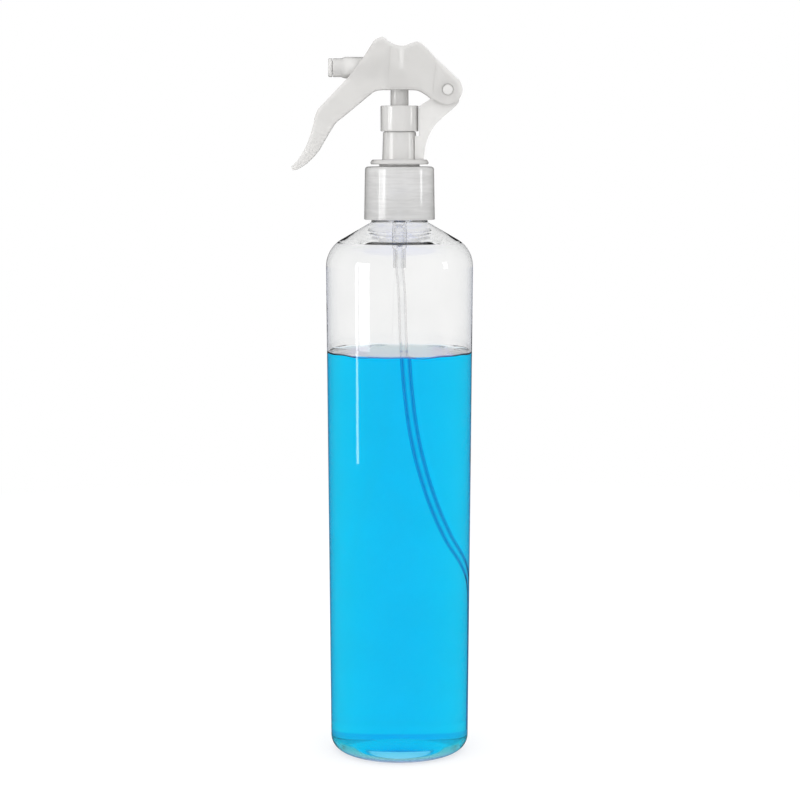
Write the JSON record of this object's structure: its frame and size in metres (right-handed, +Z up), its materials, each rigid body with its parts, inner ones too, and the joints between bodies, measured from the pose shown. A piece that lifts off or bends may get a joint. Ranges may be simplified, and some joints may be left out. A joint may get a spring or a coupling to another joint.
{
  "type": "spray bottle",
  "caption": "Clear cylindrical bottle with a screw-on fine mist trigger head: a hinged lever presses a spring-return pump that draws liquid up a dip tube.",
  "frame": {"origin": "on the plane that the bottle stands on, under the middle of the whole object's box; the bottle's own axis is the vertical line at X = +6.7 mm", "axes": "+Z up along the bottle's axis, -X the way the nozzle sprays, +X the side of the trigger's pivot, Y across the lever"},
  "size_m": [0.072, 0.0586, 0.287],
  "materials": {
    "clear_pet": "gloss",
    "blue_liquid": "gloss",
    "milky_polypropylene": "satin",
    "natural_polyethylene": "satin",
    "white_foam": "matte",
    "stainless_steel": "polished"
  },
  "bodies": {
    "container": {"bottle": "clear_pet", "liquid": "blue_liquid"},
    "pump_body": {"gasket": "white_foam", "pump_housing": "natural_polyethylene", "chaplet": "natural_polyethylene", "dip_tube": "natural_polyethylene", "return_spring": "stainless_steel", "head_bracket": "milky_polypropylene", "guide_collar": "milky_polypropylene"},
    "closure": {"closure": "milky_polypropylene"},
    "plunger": {"valve_rod": "natural_polyethylene", "stem": "natural_polyethylene", "actuator": "milky_polypropylene", "nozzle_insert": "milky_polypropylene"},
    "piston": {"piston": "natural_polyethylene"},
    "inlet_ball": {"inlet_ball": "stainless_steel"},
    "trigger": {"trigger_lever": "milky_polypropylene"}
  },
  "joints": [
    {"name": "head_lift", "type": "slide", "parent": "container", "child": "pump_body", "axis": [0, 0, 1], "range_m": [0, 0.00477]},
    {"name": "closure_turn", "type": "hinge", "parent": "pump_body", "child": "closure", "pos_m": [0.0067, 0, 0.2156], "axis": [0, 0, 1], "range_deg": [0, 540]},
    {"name": "trigger_squeeze", "type": "hinge", "parent": "pump_body", "child": "trigger", "pos_m": [0.0256, 0, 0.2666], "axis": [0, -1, 0], "range_deg": [0, 15], "stiffness_Nm_per_rad": 0.44, "springref_deg": -24.64},
    {"name": "stem_stroke", "type": "slide", "parent": "pump_body", "child": "plunger", "axis": [0, 0, -1], "range_m": [0, 0.005], "deforming": ["return_spring"]},
    {"name": "piston_lag", "type": "slide", "parent": "plunger", "child": "piston", "axis": [0, 0, 1], "range_m": [0, 0.0008]},
    {"name": "ball_lift", "type": "slide", "parent": "pump_body", "child": "inlet_ball", "axis": [0, 0, 1], "range_m": [0, 0.0011]}
  ],
  "couplings": [
    {"joint": "head_lift", "follows": "closure_turn", "m_per_rad": 0.00050532},
    {"joint": "stem_stroke", "follows": "trigger_squeeze", "m_per_rad": 0.019}
  ]
}
